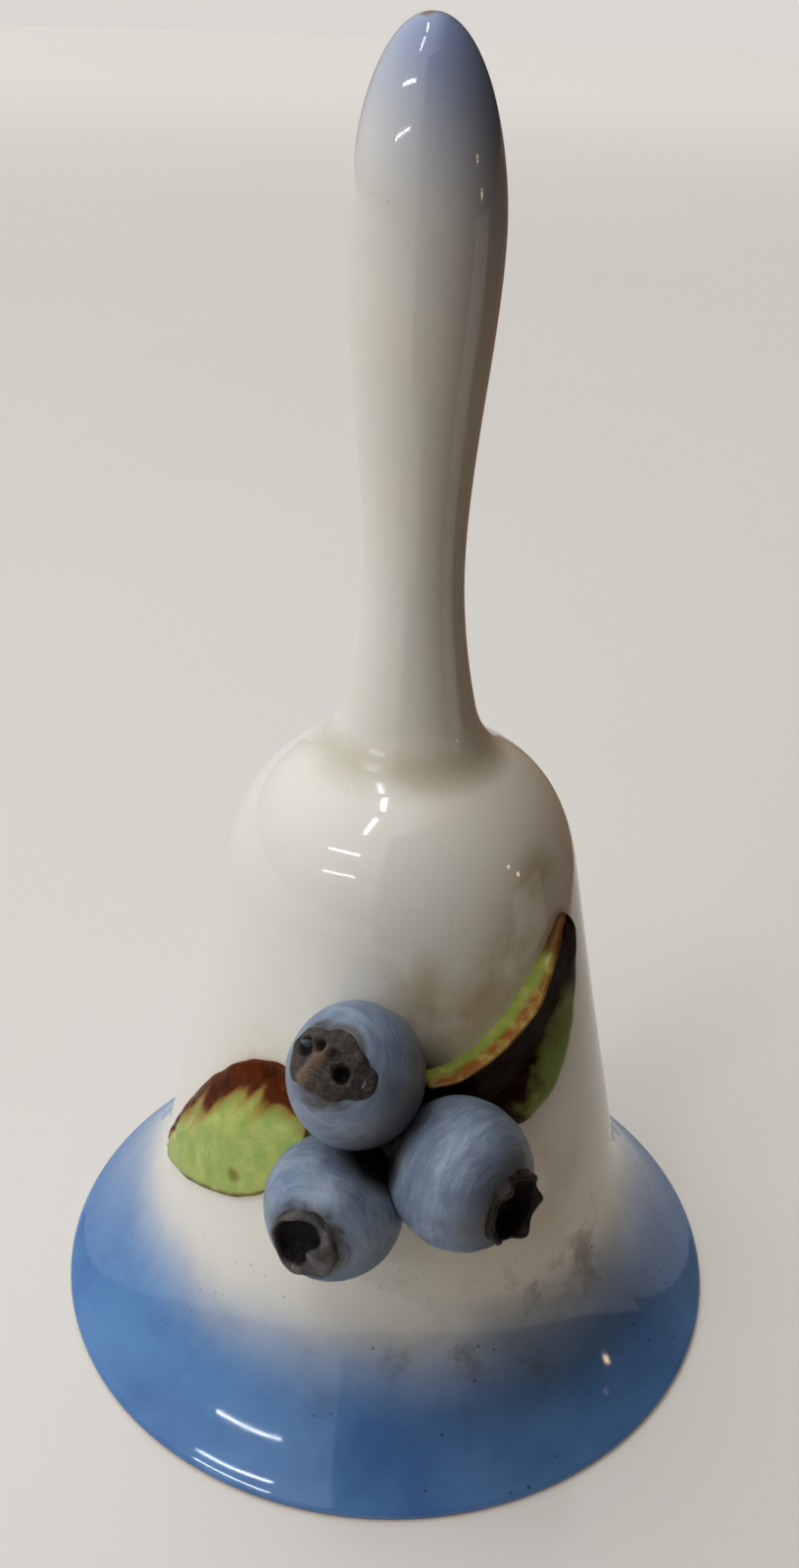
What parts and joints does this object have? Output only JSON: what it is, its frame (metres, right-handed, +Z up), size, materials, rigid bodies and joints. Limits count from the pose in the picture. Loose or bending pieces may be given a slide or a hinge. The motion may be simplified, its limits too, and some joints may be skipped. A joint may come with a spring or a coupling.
{
  "type": "porcelain hand bell",
  "caption": "Flared porcelain hand bell with a slim bulged handle, an applied sprig of berries and leaves, and a bead clapper hung inside on a short chain.",
  "frame": {"origin": "centre of the rim circle, on the surface that the bell stands on", "axes": "+Z up along the handle; the berries face -Y, with +X to their right"},
  "size_m": [0.076, 0.076, 0.134],
  "materials": {
    "white_glaze": "glossy",
    "leaf_glaze": "glossy",
    "berry_glaze": "satin",
    "calyx_glaze": "satin",
    "cement": "matte",
    "wire": "satin",
    "bead_glaze": "glossy"
  },
  "bodies": {
    "bell": {"bell_body": "white_glaze", "handle": "white_glaze", "leaf_left": "leaf_glaze", "leaf_right": "leaf_glaze", "berry_upper": "berry_glaze", "berry_lower_left": "berry_glaze", "berry_lower_right": "berry_glaze", "calyx_upper": "calyx_glaze", "calyx_lower_left": "calyx_glaze", "calyx_lower_right": "calyx_glaze", "cement_plug": "cement", "hanger_staple": "wire"},
    "link_upper": {"chain_link_upper": "wire"},
    "link_middle": {"chain_link_middle": "wire"},
    "link_lower": {"chain_link_lower": "wire"},
    "clapper": {"clapper_pin": "wire", "clapper_bead": "bead_glaze"}
  },
  "joints": [
    {"name": "upper_link_swing", "type": "hinge", "parent": "bell", "child": "link_upper", "pos_m": [0, 0, 0.058], "axis": [1, 0, 0], "range_deg": [-12, 12]},
    {"name": "middle_link_swing", "type": "hinge", "parent": "link_upper", "child": "link_middle", "pos_m": [0, 0, 0.049], "axis": [0, 1, 0], "range_deg": [-12.5, 12.5]},
    {"name": "lower_link_swing", "type": "hinge", "parent": "link_middle", "child": "link_lower", "pos_m": [0, 0, 0.04], "axis": [1, 0, 0], "range_deg": [-12, 12]},
    {"name": "clapper_swing", "type": "hinge", "parent": "link_lower", "child": "clapper", "pos_m": [0, 0, 0.031], "axis": [0, 1, 0], "range_deg": [-12.5, 12.5]}
  ]
}
